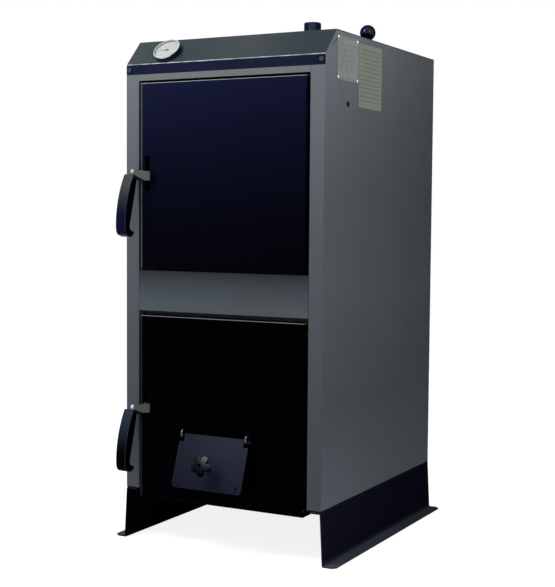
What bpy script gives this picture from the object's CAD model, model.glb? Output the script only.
"""Looks of the solid fuel boiler: materials, trim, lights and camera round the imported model."""

import math
from typing import NamedTuple

import bmesh
import bpy
from mathutils import Matrix, Vector


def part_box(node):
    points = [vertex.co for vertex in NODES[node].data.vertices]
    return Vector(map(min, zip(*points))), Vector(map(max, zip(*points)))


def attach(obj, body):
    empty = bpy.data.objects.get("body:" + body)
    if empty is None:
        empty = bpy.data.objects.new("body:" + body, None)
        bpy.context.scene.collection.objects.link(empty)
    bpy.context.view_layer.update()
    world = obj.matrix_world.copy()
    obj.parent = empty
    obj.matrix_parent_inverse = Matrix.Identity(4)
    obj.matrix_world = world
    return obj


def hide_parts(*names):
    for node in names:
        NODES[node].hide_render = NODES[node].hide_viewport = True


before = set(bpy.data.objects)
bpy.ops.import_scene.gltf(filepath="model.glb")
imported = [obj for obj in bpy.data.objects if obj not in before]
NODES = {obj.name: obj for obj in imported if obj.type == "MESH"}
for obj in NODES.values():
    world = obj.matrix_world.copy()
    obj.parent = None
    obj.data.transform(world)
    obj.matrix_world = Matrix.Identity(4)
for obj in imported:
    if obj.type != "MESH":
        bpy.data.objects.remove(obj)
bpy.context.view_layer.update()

MM = 0.001
SLOPE_RISE, SLOPE_RUN = 50.5, 47.5  # mm, of the hood's sloping face
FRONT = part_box("hood")[0].y  # front plane of the casing
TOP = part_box("hood")[1].z
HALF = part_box("hood")[1].x
REAR = FRONT + 550 * MM
BEND_Z = TOP - SLOPE_RISE * MM  # where the hood's lip bends into its slope

# The lever bars sit at the doors' middle heights
UPPER_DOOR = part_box("upper_cover")
LOWER_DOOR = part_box("lower_cover")
UPPER_RISE, LOWER_RISE = 5.0, -6.0  # mm that each bar climbs towards its grip


# ---------------------------------------------------------------- materials
# Which way a face looks: an axis and a stretch of the normal along it, past 1 where that end isn't soft
FACES_LEFT = ("X", -0.95, -0.2)
FACES_FRONT = ("Y", -1.2, -0.6)
FACES_UP = ("Z", 0.6, 1.2)
FACES_ANY = ("Y", -1.2, 1.2)

NOISE_CORE = (0.3, 0.7)  # most of a noise texture's values lie between these
DRIFT_SCALE, GLOSS_SCALE = 6.0, 45.0  # slow change of colour, finer change of gloss
DRAWN_SCALE, DRAWN_DEPTH = 350.0, 0.00004  # grain of drawn or brushed metal
PEEL_SCALE = 500.0  # skin of a smooth coat or moulding
DUST_SCALE, DUST = 90.0, (70, 74, 90)
NEAR_FADE = 0.5 * MM  # soft ends of a stretch of places
TIP_NEAR, TIP_FAR = 3 * MM, 9 * MM  # a bar's polished corner is full up to the first and gone at the second


def linear(c):
    """Colour written as 0-255 screen values, as the shader wants it."""
    return tuple((v / 255 / 12.92) if v / 255 <= 0.04045 else ((v / 255 + 0.055) / 1.055) ** 2.4 for v in c) + (1.0,)


class Edge(NamedTuple):
    """Colour of the faces that look one way, such as rubbed rims; near is an axis and a stretch of it."""

    facing: tuple
    colour: tuple
    strength: float = 1.0
    fade: float = 0.06
    near: tuple = None


class Paint:
    """A small node tree: Principled, with helpers that add texture nodes."""

    MIX_A, MIX_B, MIX_RESULT = 6, 7, 2  # colour sockets of a Mix node

    def __init__(self, name, rough=0.5, spec=0.5, metallic=0.0):
        self.mat = bpy.data.materials.new(name)
        self.mat.use_nodes = True
        self.tree = self.mat.node_tree
        self.shader = self.tree.nodes["Principled BSDF"]
        self.shader.inputs["Roughness"].default_value = rough
        self.shader.inputs["Specular IOR Level"].default_value = spec
        self.shader.inputs["Metallic"].default_value = metallic
        self.coords = self.add("ShaderNodeTexCoord")

    def add(self, kind, **values):
        node = self.tree.nodes.new(kind)
        for key, value in values.items():
            setattr(node, key, value)
        return node

    def put(self, value, socket):
        """Links an output, or sets a number or colour; a colour of three values is a screen colour."""
        if isinstance(value, bpy.types.NodeSocket):
            self.tree.links.new(value, socket)
        elif isinstance(value, tuple) and len(value) == 3:
            socket.default_value = linear(value)
        else:
            socket.default_value = value

    def noise(self, scale, detail=3.0, rough=0.55, stretch=None):
        n = self.add("ShaderNodeTexNoise")
        n.inputs["Scale"].default_value = scale
        n.inputs["Detail"].default_value = detail
        n.inputs["Roughness"].default_value = rough
        place = self.coords.outputs["Object"]
        if stretch:
            m = self.add("ShaderNodeMapping")
            m.inputs["Scale"].default_value = stretch
            self.put(place, m.inputs["Vector"])
            place = m.outputs["Vector"]
        self.put(place, n.inputs["Vector"])
        return n.outputs["Fac"]

    def spread(self, fac, low, high, start=0.0, end=1.0, smooth=False):
        """low where fac is at start, high where it is at end."""
        r = self.add("ShaderNodeMapRange")
        if smooth:
            r.interpolation_type = "SMOOTHSTEP"
        for key, value in (("From Min", start), ("From Max", end), ("To Min", low), ("To Max", high)):
            r.inputs[key].default_value = value
        self.put(fac, r.inputs["Value"])
        return r.outputs["Result"]

    def rise(self, fac, start, end, smooth=False):
        """0 where fac is at start, 1 where it is at end."""
        return self.spread(fac, 0.0, 1.0, start, end, smooth)

    def axis(self, name, source="Object"):
        s = self.add("ShaderNodeSeparateXYZ")
        self.put(self.coords.outputs[source], s.inputs["Vector"])
        return s.outputs[name]

    def mix(self, fac, a, b, kind="MIX"):
        m = self.add("ShaderNodeMix", data_type="RGBA", blend_type=kind)
        self.put(fac, m.inputs["Factor"])
        self.put(a, m.inputs[self.MIX_A])
        self.put(b, m.inputs[self.MIX_B])
        return m.outputs[self.MIX_RESULT]

    def scaled(self, colour, level):
        """The colour at another brightness."""
        return self.mix(1.0, colour, level, "MULTIPLY")

    def power(self, fac, exponent):
        return self.reckon("POWER", fac, exponent)

    def times(self, a, b):
        return self.reckon("MULTIPLY", a, b)

    def reckon(self, operation, a, b):
        m = self.add("ShaderNodeMath", operation=operation)
        self.put(a, m.inputs[0])
        self.put(b, m.inputs[1])
        return m.outputs[0]

    def ramp(self, fac, stops):
        """Level along fac, from hand-set stops of place and level; a ramp holds no level over 1, so half is kept."""
        r = self.add("ShaderNodeValToRGB")
        elements = r.color_ramp.elements
        while len(elements) < len(stops):
            elements.new(1.0)
        for element, (at, level) in zip(elements, stops):
            element.position = at
            element.color = (level / 2, level / 2, level / 2, 1.0)
        self.put(fac, r.inputs["Fac"])
        return self.spread(r.outputs["Color"], 0.0, 2.0)

    def window(self, value, start, end, fade):
        """1 between start and end, 0 outside, with soft ends."""
        return self.times(self.rise(value, start, start + fade), self.spread(value, 1.0, 0.0, end - fade, end))

    def worn(self, base, edge):
        """The base colour with an Edge on it."""
        axis, start, end = edge.facing
        fac = self.window(self.axis(axis, "Normal"), start, end, edge.fade)
        if edge.near:
            axis, start, end = edge.near
            fac = self.times(fac, self.window(self.axis(axis), start, end, NEAR_FADE))
        return self.mix(self.spread(fac, 0.0, edge.strength), base, edge.colour)

    def colour(self, value):
        self.put(value, self.shader.inputs["Base Color"])

    def roughness(self, fac, low, high):
        self.put(self.spread(fac, low, high, *NOISE_CORE), self.shader.inputs["Roughness"])

    def bump(self, fac, depth):
        b = self.add("ShaderNodeBump")
        b.inputs["Distance"].default_value = depth
        self.put(fac, b.inputs["Height"])
        self.put(b.outputs["Normal"], self.shader.inputs["Normal"])


def coat(name, low, high=None, *, heights=(0, 1), curve=None, rough=0.3, spec=0.25, grain=PEEL_SCALE,
         depth=0.00006, change=0.05, edges=(), fade=None, levels=None):
    """Paint or powder coat on sheet steel: slow colour drift, fine orange peel, uneven gloss.

    The colour climbs from low to high between two heights. fade is an axis, its range and the brightness
    at either end. levels are stops of height and brightness for what faces right.
    """
    p = Paint(name, rough, spec)
    base = low
    if high:
        climb = p.rise(p.axis("Z"), *heights, smooth=curve is None)
        base = p.mix(p.power(climb, curve) if curve else climb, low, high)
    for edge in edges:
        base = p.worn(base, edge)
    if fade:
        axis, start, end, first, last = fade
        base = p.scaled(base, p.spread(p.axis(axis), first, last, start, end))
    if levels:
        sideways = p.rise(p.axis("X", "Normal"), 0.6, 0.9)
        base = p.mix(sideways, base, p.scaled(base, p.ramp(p.rise(p.axis("Z"), 0.0, 1.0), levels)))
    p.colour(p.scaled(base, p.spread(p.noise(DRIFT_SCALE), 1 - change, 1 + change, *NOISE_CORE)))
    p.roughness(p.noise(GLOSS_SCALE, 4.0), rough - 0.04, rough + 0.06)
    p.bump(p.noise(grain, 2.0), depth)
    return p


def metal(name, colour, *, rough=0.3, stretch=(1, 1, 1), change=0.1, tip=None):
    """Bare metal with a drawn or brushed grain; tip is the x and z of a bar's polished upper corner."""
    p = Paint(name, rough, metallic=1.0)
    base = linear(colour)
    darker = tuple(c * (1 - 2 * change) for c in base[:3]) + (1.0,)
    lines = p.noise(DRAWN_SCALE, 4.0, 0.6, stretch)
    drawn = p.mix(p.rise(lines, 0.35, 0.65), darker, base)
    if tip:
        x, z = tip
        corner = p.times(p.spread(p.axis("X"), 1.0, 0.0, x + TIP_NEAR, x + TIP_FAR),
                         p.rise(p.axis("Z"), z - TIP_FAR, z - TIP_NEAR))
        drawn = p.mix(corner, drawn, (225, 230, 230))
    p.colour(drawn)
    p.roughness(p.noise(60.0, 3.0), rough - 0.06, rough + 0.12)
    p.bump(lines, DRAWN_DEPTH)
    return p


def plastic(name, low, high=None, *, heights=(0, 1), rough=0.26, spec=0.1, depth=0.00003, dust=0.02, edges=()):
    """Moulded plastic or enamel: fine dust, uneven gloss, a faint skin."""
    p = Paint(name, rough, spec)
    base = low
    if high:
        base = p.mix(p.rise(p.axis("Z"), *heights, smooth=True), low, high)
    for edge in edges:
        base = p.worn(base, edge)
    p.colour(p.mix(p.spread(p.noise(DUST_SCALE, 2.0), 0.0, dust), base, DUST))
    p.roughness(p.noise(120.0, 4.0), rough - 0.05, rough + 0.08)
    p.bump(p.noise(PEEL_SCALE, 2.0), depth)
    return p


def film(name, one, other, scale, rough=0.5, spec=0.3, share=1.0):
    """Print, film or enamel: one shade with soft patches of another."""
    p = Paint(name, rough, spec)
    p.colour(p.mix(p.spread(p.noise(scale), 0.0, share), one, other))
    return p


def span_z(name):
    """Lowest and highest point of a CAD node."""
    lo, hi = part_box(name)
    return lo.z, hi.z


# Casing. Daylight and handling leave the side unevenly bright from its foot to its top
SIDE_LEVELS = ((0.13, 1.72), (0.3, 1.16), (0.5, 1.26), (0.7, 1.0), (0.85, 1.0), (0.98, 1.17))
side_span = span_z("right_side_panel")
casing = coat("casing_grey", (93, 99, 105), (126, 133, 138), heights=side_span, curve=2.0, rough=0.48, spec=0.02,
              grain=620.0, change=0.04, fade=("Y", FRONT, REAR, 1.045, 0.513), levels=SIDE_LEVELS)
rear = coat("rear_grey", (96, 102, 108), (112, 119, 124), heights=side_span, rough=0.48, spec=0.02, grain=620.0,
            change=0.04)
middle = coat("mid_panel_grey", (96, 105, 110), (51, 55, 62), heights=span_z("front_mid_panel"), curve=1.35,
              rough=0.42, spec=0.12, grain=620.0)
strip = coat("top_strip_grey", (122, 127, 129), rough=0.4, spec=0.2, grain=620.0,
             edges=(Edge(("Z", -1.2, -0.5), (24, 28, 32), fade=0.1),))


def door_edges(door, line, top):
    """Rubbed rims of a door: its left side and edge line, and the line along its top."""
    left = UPPER_DOOR[0].x
    return (Edge(FACES_LEFT, (112, 120, 118), near=("X", left - 2 * MM, left + 6 * MM)),
            Edge(FACES_LEFT, (30, 34, 40), 0.6),
            Edge(FACES_FRONT, line, near=("X", left + 1.2 * MM, left + 4.2 * MM)),
            Edge(("Z", 0.15, 0.95), top, near=("Z", door[1].z - 6 * MM, door[1].z + 2 * MM)))


upper_paint = coat("upper_door_navy", (4, 5, 14), (25, 29, 58), heights=span_z("upper_cover"), curve=1.8,
                   spec=0.01, grain=420.0, depth=0.00003,
                   edges=door_edges(UPPER_DOOR, (84, 88, 94), (176, 182, 188)),
                   fade=("X", -0.15, 0.15, 1.08, 0.88))
lower_paint = coat("lower_door_black", (1, 1, 4), (2, 2, 6), heights=span_z("lower_cover"), curve=1.0,
                   spec=0.005, grain=420.0, depth=0.00003,
                   edges=door_edges(LOWER_DOOR, (38, 40, 44), (142, 150, 154)))
flap_paint = coat("flap_navy", (23, 25, 45), (46, 50, 66), heights=(0.12, 0.21), curve=0.9, rough=0.38,
                  spec=0.05, depth=0.00004, fade=("X", -0.07, 0.01, 0.74, 1.08))

# Feet: the left one stands in the boiler's own shade
LEFT_HALF = ("X", -0.3, 0.0)
foot_paint = coat("foot_black", (60, 58, 76), (31, 30, 46), heights=(0.002, 0.014), rough=0.5, spec=0.0,
                  grain=380.0, fade=("Y", FRONT, REAR, 1.05, 0.6),
                  edges=(Edge(FACES_UP, (86, 91, 104)), Edge(FACES_UP, (88, 88, 84), near=LEFT_HALF),
                         Edge(FACES_FRONT, (1, 1, 4), 0.85, near=LEFT_HALF),
                         Edge(("X", 0.5, 1.2), (14, 14, 18), 0.75, near=LEFT_HALF)))
pipe_paint = coat("pipe_navy", (20, 23, 52), rough=0.34, spec=0.02, depth=0.00003,
                  edges=(Edge(("X", -0.2, 0.9), (50, 66, 90), fade=0.35),
                         Edge(("Z", 0.15, 1.2), (24, 32, 48), 0.8, 0.2)))
flue_paint = coat("flue_black", (30, 30, 33), rough=0.6, spec=0.3, grain=300.0, depth=0.0001, change=0.15)
primer = coat("plate_primer", (136, 139, 136), (112, 117, 114), heights=(0.2, 0.9), rough=0.6, spec=0.05,
              grain=300.0, depth=0.0001, change=0.1)

# Gauge: navy outside, and its inner wall is pale where it shows beside the dial
dial_lo, dial_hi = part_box("thermometer_dial")
dial_mid = (dial_lo + dial_hi) / 2
INNER_WALL = (176, 182, 178)
gauge_paint = coat("gauge_navy", (28, 32, 64), spec=0.08, depth=0.00003,
                   edges=(Edge(("X", 0.15, 1.2), INNER_WALL, near=("X", -0.2, dial_mid.x)),
                          Edge(("Z", -1.2, -0.15), INNER_WALL, near=("Z", dial_mid.z, 1.05))))

# The hood is one sheet: its lip is navy, and what faces up is greyer with fine dust on it
hood = Paint("hood_navy", 0.34, 0.05)
facing_up = hood.rise(hood.axis("Z", "Normal"), 0.2, 0.6, True)
dusty = hood.mix(hood.rise(hood.noise(7.0), *NOISE_CORE), (51, 62, 66), (63, 72, 75))
across = hood.rise(hood.axis("X"), 0.03, 0.2, True)
lip_end = hood.rise(hood.axis("X"), 0.18, 0.218)
hood_base = hood.mix(facing_up, hood.mix(lip_end, (25, 31, 59), (15, 23, 40)), hood.mix(across, dusty, (46, 55, 64)))
hood_base = hood.worn(hood_base, Edge(("Z", 0.08, 0.6), (170, 180, 188), 0.8))
bend = hood.times(hood.window(hood.axis("Z"), BEND_Z - 1.1 * MM, BEND_Z + 1.1 * MM, 0.4 * MM),
                  hood.spread(hood.noise(3.0, 2.0, 0.5, (14, 1, 1)), 0.35, 1.0, 0.35, 0.6))
hood.colour(hood.mix(bend, hood_base, (205, 214, 220)))
hood.roughness(hood.noise(GLOSS_SCALE, 4.0), 0.3, 0.4)
hood.bump(hood.noise(PEEL_SCALE, 2.0), 0.00004)

# Hot-rolled boiler steel: blue-black scale with rust-brown clouds
boiler_steel = Paint("boiler_steel", 0.6, 0.3)
clouds = boiler_steel.noise(9.0, 6.0, 0.65)
boiler_steel.colour(boiler_steel.mix(boiler_steel.rise(clouds, 0.45, 0.75), (48, 48, 52), (74, 60, 50)))
boiler_steel.roughness(clouds, 0.5, 0.75)
boiler_steel.bump(boiler_steel.noise(260.0, 5.0), 0.00012)

grate_iron = Paint("grate_iron", 0.75, 0.3)
cast = grate_iron.noise(160.0, 6.0, 0.7)
grate_iron.colour(grate_iron.mix(cast, (52, 48, 46), (92, 80, 72)))
grate_iron.roughness(cast, 0.65, 0.85)
grate_iron.bump(cast, 0.0003)

wool = Paint("mineral_wool", 0.95, 0.1)
fibres = wool.noise(220.0, 6.0, 0.8, (1, 0.25, 1))
wool.colour(wool.mix(fibres, (196, 176, 120), (232, 216, 168)))
wool.bump(fibres, 0.0008)

# Glass-fibre rope, sooty in patches
rope_white = Paint("rope_seal", 0.9, 0.1)
yarn = rope_white.noise(900.0, 3.0, 0.7)
soot = rope_white.spread(rope_white.noise(30.0, 4.0), 0.0, 0.7, 0.5, 0.8)
rope_white.colour(rope_white.mix(soot, rope_white.mix(yarn, (206, 200, 188), (236, 232, 222)), (120, 112, 104)))
rope_white.bump(yarn, 0.0003)

# Bare metal
BAR_HALF = 8.8  # mm, half the height of a lever bar


def bar_tip(lever, door, rise):
    """x and z of a lever bar's upper corner at its grip."""
    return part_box(lever)[0].x, (door[0].z + door[1].z) / 2 + (BAR_HALF + rise) * MM


ear_steel = metal("ear_steel", (84, 88, 86), rough=0.32, stretch=(6, 1, 1), change=0.15)
bright = metal("zinc_plate", (150, 156, 150), stretch=(6, 1, 1))
bar_steel = metal("bar_steel", (88, 94, 92), rough=0.34, stretch=(1, 1, 9),
                  tip=bar_tip("upper_lever", UPPER_DOOR, UPPER_RISE))
low_bar_steel = metal("low_bar_steel", (74, 77, 77), rough=0.34, stretch=(1, 1, 9),
                      tip=bar_tip("lower_lever", LOWER_DOOR, LOWER_RISE))
screw_dark = metal("blued_screw", (14, 16, 24), rough=0.4, change=0.15)
plate_metal = metal("plate_aluminium", (121, 125, 124), rough=0.38, stretch=(1, 14, 1), change=0.05)
rivet_metal = metal("rivet_aluminium", (226, 230, 228), change=0.04)
brass = metal("brass", (196, 160, 92))
chrome = metal("gauge_chrome", (205, 208, 210), rough=0.12, change=0.03)

# Casing screws: the recess of their heads is dark
screw_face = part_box("casing_screws")[0].y
screw_steel = plastic("zinc_screw", (82, 88, 102), rough=0.35, dust=0.05,
                      edges=(Edge(("Y", -1.2, -0.9), (4, 6, 16), fade=0.04,
                                  near=("Y", screw_face + 0.8 * MM, screw_face + 1.8 * MM)),
                             Edge(("Z", 0.3, 1.2), (150, 158, 166), fade=0.2)))
pointer_grey = plastic("pointer_grey", (108, 110, 104), rough=0.5, dust=0.12,
                       edges=(Edge(FACES_ANY, (186, 190, 182), 0.75,
                                   near=("X", dial_mid.x - 30 * MM, dial_mid.x - 3 * MM)),))
hollow = plastic("hollow_black", (5, 6, 12), rough=0.8, spec=0.0)

# Polished phenolic: its reflections keep the ball's own navy, also towards the rim
ball = plastic("ball_phenolic", (35, 39, 53), rough=0.12, spec=0.5, depth=0.00001)
ball.shader.inputs["Metallic"].default_value = 1.0
ball.shader.inputs["Specular Tint"].default_value = (0.1, 0.1, 0.12, 1)

# Grips: dark inner side, a pale line along the outer rim and the dark shoulder under the bar
grip_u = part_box("upper_grip")
grip_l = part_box("lower_grip")
GRIP_EDGES = (Edge(("X", 0.5, 2.0), (3, 4, 12), fade=0.2), Edge(("X", 0.2, 0.6), (84, 92, 100), 0.35, 0.12),
              Edge(FACES_ANY, (4, 10, 22), near=("X", grip_u[0].x + 25.4 * MM, grip_u[1].x + 2 * MM)))
upper_grip_paint = plastic("upper_grip_phenolic", (11, 15, 46), (68, 75, 76), spec=0.03, edges=GRIP_EDGES,
                           heights=(grip_u[0].z + 35 * MM, grip_u[1].z))
lower_grip_paint = plastic("lower_grip_phenolic", (1, 1, 4), (50, 60, 78), spec=0.01, dust=0.01, edges=GRIP_EDGES,
                           heights=(grip_l[0].z + 32 * MM, grip_l[1].z - 5 * MM))

# Star knob: its domed face is black below, navy on the left and catches the light at the upper right
knob = Paint("knob_phenolic", 0.4, 0.005)
lit = knob.times(knob.power(knob.rise(knob.axis("Z", "Normal"), -0.2, 0.7), 2.0),
                 knob.spread(knob.axis("X", "Normal"), 0.35, 1.5, -0.15, 0.25))
knob_base = knob.mix(knob.rise(lit, 0.0, 0.1), (1, 3, 5), (22, 23, 42))
knob_base = knob.mix(knob.power(knob.rise(lit, 0.1, 1.15), 1.7), knob_base, (112, 116, 112))
knob.colour(knob.mix(knob.spread(knob.noise(DUST_SCALE, 2.0), 0.0, 0.03), knob_base, (40, 42, 60)))
knob.bump(knob.noise(PEEL_SCALE, 2.0), 0.00005)

dial_white = film("dial_white", (211, 214, 204), (205, 208, 199), 60.0, share=0.1)
ink = film("dial_ink", (202, 205, 197), (207, 210, 202), 80.0, rough=0.6, spec=0.2)
label = film("label_film", (126, 132, 118), (138, 144, 130), 25.0, rough=0.45)
label.bump(label.noise(80.0), 0.00005)
ruling = film("label_ruling", (96, 101, 92), (108, 113, 103), 60.0)

# A thin flat pane bends no light, so it is nearly clear by its alpha, which lets the lamps through to the dial
glass = Paint("gauge_glass", 0.03, 0.5)
glass.shader.inputs["Alpha"].default_value = 0.08
glass.shader.inputs["IOR"].default_value = 1.5
glass.colour((190, 194, 192))

LOOKS = (
    (casing, ("left_side_panel", "right_side_panel")),
    (rear, ("rear_panel",)),
    (strip, ("front_top_strip",)),
    (middle, ("front_mid_panel",)),
    (hood, ("hood",)),
    (upper_paint, ("upper_cover",)),
    (lower_paint, ("lower_cover",)),
    (flap_paint, ("air_flap",)),
    (foot_paint, ("left_foot", "right_foot", "base_plate")),
    (pipe_paint, ("supply_pipe", "return_pipe")),
    (gauge_paint, ("thermometer_case",)),
    (flue_paint, ("flue_collar", "damper_arm")),
    (primer, ("front_plate",)),
    (boiler_steel, ("outer_shell", "inner_shell", "water_shelves", "grate_supports", "ash_pan",
                    "upper_inner_plate", "lower_inner_plate", "upper_heat_shield", "lower_heat_shield",
                    "air_duct", "drain_socket", "damper_plate")),
    (grate_iron, ("grate",)),
    (wool, ("casing_insulation", "upper_insulation", "lower_insulation")),
    (bright, ("hinge_brackets", "hinge_pins", "lever_keepers", "upper_pivot", "lower_pivot", "damper_spindle")),
    (ear_steel, ("flap_ears",)),
    (screw_dark, ("flap_screw",)),
    (bar_steel, ("upper_lever",)),
    (low_bar_steel, ("lower_lever",)),
    (screw_steel, ("casing_screws",)),
    (plate_metal, ("rating_plate",)),
    (rivet_metal, ("plate_rivets",)),
    (brass, ("drain_plug", "temperature_probe")),
    (chrome, ("thermometer_bezel",)),
    (pointer_grey, ("thermometer_pointer",)),
    (dial_white, ("thermometer_dial",)),
    (glass, ("thermometer_glass",)),
    (ball, ("damper_knob",)),
    (knob, ("star_knob",)),
)
for paint, names in LOOKS:
    for name in names:
        for slot in NODES[name].material_slots:
            slot.link = "OBJECT"
            slot.material = paint.mat

# Edges of folded sheet, bars and plates are not knife-sharp: widths in mm
SOFT_EDGES = {
    "hood": 1.6, "left_side_panel": 0.7, "right_side_panel": 0.7, "front_top_strip": 0.8, "front_mid_panel": 1.2,
    "upper_cover": 1.6, "lower_cover": 1.6, "left_foot": 0.8, "right_foot": 0.8, "base_plate": 0.6,
    "upper_lever": 0.8, "lower_lever": 0.8, "air_flap": 0.7, "star_knob": 1.6, "ash_pan": 0.4,
    "grate": 1.6, "rating_plate": 0.3, "flap_ears": 0.8, "rear_panel": 0.3, "upper_heat_shield": 1.2,
    "lower_heat_shield": 1.2, "damper_arm": 0.8, "hinge_brackets": 0.6, "casing_screws": 0.35,
}
ROUNDER = ("hood", "upper_cover", "lower_cover", "star_knob")
WELD, SHARP_DEG = 0.000004, 32.0


def soften(obj, width, segments):
    obj.modifiers.new("weld", "WELD").merge_threshold = WELD
    bevel = obj.modifiers.new("bevel", "BEVEL")
    bevel.width = width * MM
    bevel.segments = segments
    bevel.limit_method = "ANGLE"
    bevel.angle_limit = math.radians(SHARP_DEG)
    bevel.harden_normals = True


for name, width in SOFT_EDGES.items():
    soften(NODES[name], width, 3 if name in ROUNDER else 2)


# ---------------------------------------------------------------- pieces
def place_in_scene(name, data):
    obj = bpy.data.objects.new(name, data)
    bpy.context.scene.collection.objects.link(obj)
    return obj


def finish_piece(name, bm, body, paint, smooth=True):
    bmesh.ops.recalc_face_normals(bm, faces=bm.faces)
    mesh = bpy.data.meshes.new(name)
    bm.to_mesh(mesh)
    bm.free()
    for poly in mesh.polygons:
        poly.use_smooth = smooth
    obj = place_in_scene(name, mesh)
    mesh.materials.append(paint.mat)
    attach(obj, body)
    return obj


def add_box(bm, lo, hi, matrix=None):
    m = Matrix.Translation((Vector(lo) + Vector(hi)) / 2) @ Matrix.Diagonal((*(Vector(hi) - Vector(lo)), 1.0))
    bmesh.ops.create_cube(bm, size=1.0, matrix=matrix @ m if matrix else m)


def add_rings(bm, rings, closed=False):
    """Skin over rings of equal point count; open ends get a face."""
    made = [[bm.verts.new(p) for p in ring] for ring in rings]
    n = len(made[0])
    for a, b in zip(made, made[1:] + made[:1] if closed else made[1:]):
        for i in range(n):
            bm.faces.new((a[i], a[(i + 1) % n], b[(i + 1) % n], b[i]))
    if not closed:
        bm.faces.new(list(reversed(made[0])))
        bm.faces.new(made[-1])


# Grips: the outline's shares of reach and height are those of the source, as quadratic curves with their steps
GRIP_CURVES = (
    ((0.37, 1), (0.98, 0.62), (1, 0.19), 22),  # front
    ((1, 0.19), (1, 0.02), (0.76, 0.02), 8),  # heel
    ((0.76, 0.02), (0.52, -0.03), (0.36, 0.03), 8),  # sole
    ((0.36, 0.03), (0.24, 0.09), (0.5, 0.1), 8),  # toe
    ((0.5, 0.1), (0.66, 0.13), (0.62, 0.2), 7),  # throat
    ((0.62, 0.2), (0.34, 0.58), (0.1, 0.93), 18),  # back
    ((0.1, 0.93), (0.12, 1), (0.37, 1), 8),  # top
)
GRIP_REACH, GRIP_H, GRIP_W, GRIP_EDGE = 46.5, 124.0, 25.0, 4.2  # mm, GRIP_EDGE is the radius of its rims
RIM_STEPS, RIM_SHARE = 8, 0.8
BAR_SEAT, BAR_RUN, BAR_START = 0.8, 45.5, 15  # mm: the grip's top below the bar's line, and the climb's run and start
SHOULDER = ((-22.4, -0.8), (-22.4, -11.9), (-0.9, -8.9))  # mm, x and z under the bar; the last one is its end
SHOULDER_Y = (-17.5, -14.5, -11.5)  # mm from the casing's front


def grip_outline():
    out = []
    for a, b, c, n in GRIP_CURVES:
        for i in range(n):
            t = i / n
            y, z = ((1 - t) ** 2 * a[k] + 2 * t * (1 - t) * b[k] + t * t * c[k] for k in (0, 1))
            out.append(Vector((-y * GRIP_REACH, (z - 1) * GRIP_H)))
    return out


def inset(points, d):
    """The outline moved inwards by d."""
    out, n = [], len(points)
    for i, p in enumerate(points):
        v = (points[(i + 1) % n] - points[i - 1]).normalized()
        out.append(p + d * Vector((-v.y, v.x)))
    return out


def build_grip(name, node, body, door, rise, paint):
    """Grip with well-rounded rims, and the shoulder that fills the taper under the bar."""
    lo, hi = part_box(node)
    points = grip_outline()
    middle = (door[0].z + door[1].z) / 2
    top = middle + (rise - BAR_SEAT) * MM
    rims = [(GRIP_EDGE * (1 - math.sin(a)), GRIP_EDGE * (1 - math.cos(a)))
            for a in (math.pi / 2 * (1 - k / RIM_STEPS) for k in range(RIM_STEPS + 1))]
    rims += [(GRIP_W - x, d) for x, d in reversed(rims)]
    bm = bmesh.new()
    add_rings(bm, [[Vector((lo.x + x * MM, FRONT + q.x * MM, top + q.y * MM))
                    for q in inset(points, d * RIM_SHARE)] for x, d in rims])
    end = SHOULDER[-1][0]
    corners = [(hi.x + (x - end) * MM, middle + (z + rise / BAR_RUN * (BAR_START - x)) * MM) for x, z in SHOULDER]
    add_rings(bm, [[Vector((x, FRONT + y * MM, z)) for x, z in corners] for y in SHOULDER_Y])
    obj = finish_piece(name, bm, body, paint)
    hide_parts(node)
    obj.visible_shadow = False  # keeps the strip behind the grip as evenly lit as it is in the photograph


build_grip("upper_grip_moulding", "upper_grip", "upper_latch", UPPER_DOOR, UPPER_RISE, upper_grip_paint)
build_grip("lower_grip_moulding", "lower_grip", "lower_latch", LOWER_DOOR, LOWER_RISE, lower_grip_paint)

# Rope seals: a braided square rope laid round each inner plate
ROPE_CORNER, ROPE_STEP, ROPE_PITCH = 0.010, 0.0016, 0.011
ROPE_AROUND, CORNER_STEPS = 24, 8
ROPE_SQUARE = 3.4  # 2 would be a round rope, and more is squarer
BRAID_STARTS, BRAID_DEPTH, ROPE_SLACK = 4, 0.045, 0.99


def seal_path(lo, hi, half):
    """Middle line of the rope as points with their outward direction, in x and z."""
    inner = Vector(((hi.x - lo.x) / 2 - half - ROPE_CORNER, (hi.z - lo.z) / 2 - half - ROPE_CORNER))
    centre = Vector(((lo.x + hi.x) / 2, (lo.z + hi.z) / 2))
    path = []
    for quarter, (sx, sz) in enumerate(((1, 1), (-1, 1), (-1, -1), (1, -1))):
        for k in range(CORNER_STEPS + 1):
            a = math.pi / 2 * (quarter + k / CORNER_STEPS)
            out = Vector((math.cos(a), math.sin(a)))
            path.append((centre + Vector((sx * inner.x, sz * inner.y)) + ROPE_CORNER * out, out))
    dense = []
    for (p, n), (q, m) in zip(path, path[1:] + path[:1]):
        count = max(1, int((q - p).length / ROPE_STEP))
        dense += [(p.lerp(q, i / count), n.lerp(m, i / count).normalized()) for i in range(count)]
    return dense


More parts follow.
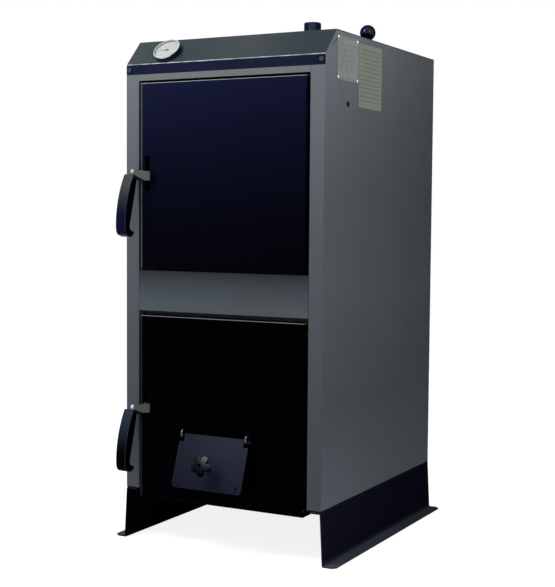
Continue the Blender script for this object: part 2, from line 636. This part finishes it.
def build_seal(name, node, body):
    lo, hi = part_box(node)
    middle, half = (lo.y + hi.y) / 2, (hi.y - lo.y) / 2
    rings = []
    for i, (p, n) in enumerate(seal_path(lo, hi, half)):
        ring = []
        u = 2 * math.pi * i * ROPE_STEP / ROPE_PITCH
        for j in range(ROPE_AROUND):
            a = 2 * math.pi * j / ROPE_AROUND
            c, s = math.cos(a), math.sin(a)
            square = (abs(c) ** ROPE_SQUARE + abs(s) ** ROPE_SQUARE) ** (-1 / ROPE_SQUARE)
            weave = max(math.cos(u + BRAID_STARTS * a), math.cos(u - BRAID_STARTS * a))
            r = half * square * (1 - BRAID_DEPTH + BRAID_DEPTH * weave) * ROPE_SLACK
            ring.append(Vector((p.x + n.x * r * c, middle + r * s, p.y + n.y * r * c)))
        rings.append(ring)
    bm = bmesh.new()
    add_rings(bm, rings, closed=True)
    obj = finish_piece(name, bm, body, rope_white)
    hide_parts(node)


build_seal("upper_rope_seal", "upper_seal", "upper_door")
build_seal("lower_rope_seal", "lower_seal", "lower_door")

# Label film beside the rating plate, blank but for faint ruling
FILM_T, PRINT_T = 0.25 * MM, 0.05 * MM
LABEL_Z = (0.8675, 0.991)
label_lo = Vector((HALF, FRONT + 148 * MM, LABEL_Z[0]))
label_hi = Vector((HALF + FILM_T, FRONT + 258 * MM, LABEL_Z[1]))
plate_lo, plate_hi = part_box("rating_plate")


def rule_lines(bm, lo, hi, rows, top, pitch, margin, thick):
    """Printed rows on a plate's right face, all lengths in mm."""
    for i in range(rows):
        z = hi.z - (top + i * pitch) * MM
        add_box(bm, (hi.x, lo.y + margin * MM, z), (hi.x + PRINT_T, hi.y - margin * MM, z + thick * MM))


bm = bmesh.new()
add_box(bm, label_lo, label_hi)
through = [e for e in bm.edges if abs(e.verts[0].co.x - e.verts[1].co.x) > FILM_T / 2]
bmesh.ops.bevel(bm, geom=through, offset=0.8 * MM, segments=2, affect="EDGES")
finish_piece("side_label", bm, "root", label, False)
bm = bmesh.new()
rule_lines(bm, label_lo, label_hi, rows=13, top=12, pitch=8.2, margin=9, thick=1.8)
finish_piece("side_label_ruling", bm, "root", ruling, False)

PLATE_TOP, PLATE_BOTTOM, PLATE_LINE = 16, 65, 0.7  # mm, extent of the rating plate's ruling and its lines
bm = bmesh.new()
rule_lines(bm, plate_lo, plate_hi, rows=6, top=PLATE_TOP, pitch=9.8, margin=11, thick=PLATE_LINE)
for column in (34, 62):
    y = plate_lo.y + column * MM
    add_box(bm, (plate_hi.x, y, plate_hi.z - PLATE_BOTTOM * MM),
            (plate_hi.x + PRINT_T, y + PLATE_LINE * MM, plate_hi.z - PLATE_TOP * MM))
finish_piece("rating_plate_ruling", bm, "root", ruling, False)

# Dark gauze behind the small vent hole
GAUZE_R, GAUZE_T = 5.6 * MM, 0.6 * MM
gauze_at = Vector((HALF - 1.1 * MM, FRONT + 101.7 * MM, TOP - 134.7 * MM))
bm = bmesh.new()
bmesh.ops.create_cone(bm, cap_ends=True, segments=32, radius1=GAUZE_R, radius2=GAUZE_R, depth=GAUZE_T,
                      matrix=Matrix.Translation(gauze_at) @ Matrix.Rotation(math.pi / 2, 4, "Y"))
finish_piece("vent_gauze", bm, "root", hollow, False)

# Dial print: a ring, ticks and plain numbers from 0 to 120; its sizes are in metres
GLASS_TO_DIAL = 2.8 * MM  # from the pane's middle down to the dial's face
DIAL_START, DIAL_SWEEP = 225, 270  # degrees
TICKS, TICKS_PER_NUMBER, RING_STEPS = 24, 4, 72
TICK_OUTER, TICK_INNER, TICK_INNER_LONG, TICK_HALF = 0.0245, 0.0222, 0.0205, 0.00022
RING_OUTER, PRINT_LIFT = 0.02485, 0.00008
NUMBERS, NUMBER_R, NUMBER_SIZE = ("0", "20", "40", "60", "80", "100", "120"), 0.0172, 0.0042
slope = math.atan2(SLOPE_RISE, SLOPE_RUN)
normal = Vector((0, -math.sin(slope), math.cos(slope)))
glass_lo, glass_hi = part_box("thermometer_glass")
dial_frame = (Matrix.Translation((glass_lo + glass_hi) / 2 - normal * GLASS_TO_DIAL)
              @ Matrix.Rotation(slope, 4, "X"))


def dial_angle(share):
    return math.radians(DIAL_START - share * DIAL_SWEEP)


bm = bmesh.new()
for i in range(TICKS + 1):
    inner = TICK_INNER if i % TICKS_PER_NUMBER else TICK_INNER_LONG
    add_box(bm, (inner, -TICK_HALF, 0.0), (TICK_OUTER, TICK_HALF, PRINT_LIFT),
            dial_frame @ Matrix.Rotation(dial_angle(i / TICKS), 4, "Z"))
arc = []
for i in range(RING_STEPS + 1):
    a = dial_angle(i / RING_STEPS)
    arc.append([dial_frame @ Vector((r * math.cos(a), r * math.sin(a), h)) for r, h in
                ((TICK_OUTER, 0), (RING_OUTER, 0), (RING_OUTER, PRINT_LIFT), (TICK_OUTER, PRINT_LIFT))])
add_rings(bm, arc)
finish_piece("dial_scale", bm, "root", ink, False)
for i, words in enumerate(NUMBERS):
    a = dial_angle(i / (len(NUMBERS) - 1))
    text = bpy.data.curves.new("number_" + words, "FONT")
    text.body = words
    text.size = NUMBER_SIZE
    text.align_x, text.align_y = "CENTER", "CENTER"
    text.extrude = 0.03 * MM
    text.materials.append(ink.mat)
    obj = place_in_scene("dial_number_" + words, text)
    obj.matrix_world = dial_frame @ Matrix.Translation((NUMBER_R * math.cos(a), NUMBER_R * math.sin(a), 0.06 * MM))
    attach(obj, "root")


# ---------------------------------------------------------------- floor, light, camera
def seen_rays(tree):
    """1 for what is seen directly, in a gloss or through glass, where the background shows as white."""
    path = tree.nodes.new("ShaderNodeLightPath")
    total = path.outputs["Is Camera Ray"]
    for kind in ("Is Glossy Ray", "Is Transmission Ray"):
        either = tree.nodes.new("ShaderNodeMath")
        either.operation = "ADD"
        either.use_clamp = True
        tree.links.new(total, either.inputs[0])
        tree.links.new(path.outputs[kind], either.inputs[1])
        total = either.outputs[0]
    return total


FLOOR_SIZE, FLOOR_DROP, FLOOR_GLOW = 14.0, 0.4 * MM, 0.86
floor_mat = bpy.data.materials.new("floor_white")
floor_mat.use_nodes = True
tree = floor_mat.node_tree
tree.nodes.clear()
diffuse = tree.nodes.new("ShaderNodeBsdfDiffuse")
diffuse.inputs["Color"].default_value = (0.55, 0.55, 0.56, 1)
gain = tree.nodes.new("ShaderNodeMath")
gain.operation = "MULTIPLY"
gain.inputs[1].default_value = FLOOR_GLOW
glow = tree.nodes.new("ShaderNodeEmission")
both = tree.nodes.new("ShaderNodeAddShader")
out = tree.nodes.new("ShaderNodeOutputMaterial")
for source, socket in ((seen_rays(tree), gain.inputs[0]), (gain.outputs[0], glow.inputs["Strength"]),
                       (diffuse.outputs[0], both.inputs[0]), (glow.outputs[0], both.inputs[1]),
                       (both.outputs[0], out.inputs["Surface"])):
    tree.links.new(source, socket)
floor_mesh = bpy.data.meshes.new("floor")
bm = bmesh.new()
bmesh.ops.create_grid(bm, x_segments=4, y_segments=4, size=FLOOR_SIZE)
bm.to_mesh(floor_mesh)
bm.free()
floor_mesh.materials.append(floor_mat)
floor = place_in_scene("floor", floor_mesh)
floor.location = (0, 0, -FLOOR_DROP)

world = bpy.data.worlds.new("studio")
bpy.context.scene.world = world
world.use_nodes = True
tree = world.node_tree
tree.nodes.clear()
choose = tree.nodes.new("ShaderNodeMixShader")
tree.links.new(seen_rays(tree), choose.inputs["Fac"])
AMBIENT, WHITE = ((0.93, 0.97, 1.0, 1), 0.3), ((1, 1, 1, 1), 1.0)  # what lights the boiler, and what is seen
for place, (colour, strength) in enumerate((AMBIENT, WHITE), start=1):
    background = tree.nodes.new("ShaderNodeBackground")
    background.inputs["Color"].default_value = colour
    background.inputs["Strength"].default_value = strength
    tree.links.new(background.outputs[0], choose.inputs[place])
tree.links.new(choose.outputs[0], tree.nodes.new("ShaderNodeOutputWorld").inputs["Surface"])

# Lamps: place, the point each looks at, watts, and its two sides
LAMPS = {
    "key": ((-0.8, FRONT - 1.1, 2.0), (0, FRONT, 0.85), 22, (0.8, 0.8)),
    "side": ((0.85, FRONT - 0.15, 1.35), (0.22, FRONT + 0.1, 0.65), 2.2, (0.35, 0.35)),
    "back": ((-0.9, 2.3, 1.7), (-0.05, REAR, 0.55), 6, (1.4, 1.4)),
    "overhead": ((-0.5, FRONT + 0.1, 2.9), (0, FRONT + 0.2, 0.9), 3, (2.2, 1.8)),
}
for name, (at, aim, power, size) in LAMPS.items():
    data = bpy.data.lights.new(name, "AREA")
    data.shape = "RECTANGLE"
    data.size, data.size_y = size
    data.energy = power
    obj = place_in_scene(name, data)
    obj.location = at
    obj.rotation_mode = "QUATERNION"
    obj.rotation_quaternion = (Vector(aim) - Vector(at)).to_track_quat("-Z", "Y")

# Camera, fitted to the photograph: focal length in pixels of its long side
CAM_YAW, CAM_PITCH, CAM_ROLL = math.radians(28.077), math.radians(-3.685), math.radians(0.4287)
CAM_AT = (1.20561, FRONT - 2.0265, 0.65866)
LONG_SIDE, FOCAL_PIXELS, SENSOR = 587, 1222.6, 36.0
forward = Vector((-math.sin(CAM_YAW) * math.cos(CAM_PITCH), math.cos(CAM_YAW) * math.cos(CAM_PITCH),
                  math.sin(CAM_PITCH)))
right = Vector((math.cos(CAM_YAW), math.sin(CAM_YAW), 0))
up = right.cross(forward)
cam_x = math.cos(CAM_ROLL) * right + math.sin(CAM_ROLL) * up
cam_y = -math.sin(CAM_ROLL) * right + math.cos(CAM_ROLL) * up
cam_data = bpy.data.cameras.new("camera")
cam_data.sensor_width = SENSOR
cam_data.lens = FOCAL_PIXELS / LONG_SIDE * SENSOR
camera = place_in_scene("camera", cam_data)
turn = Matrix((cam_x, cam_y, -forward)).transposed().to_4x4()
camera.matrix_world = Matrix.Translation(CAM_AT) @ turn
bpy.context.scene.camera = camera
bpy.context.scene.view_settings.view_transform = "Standard"
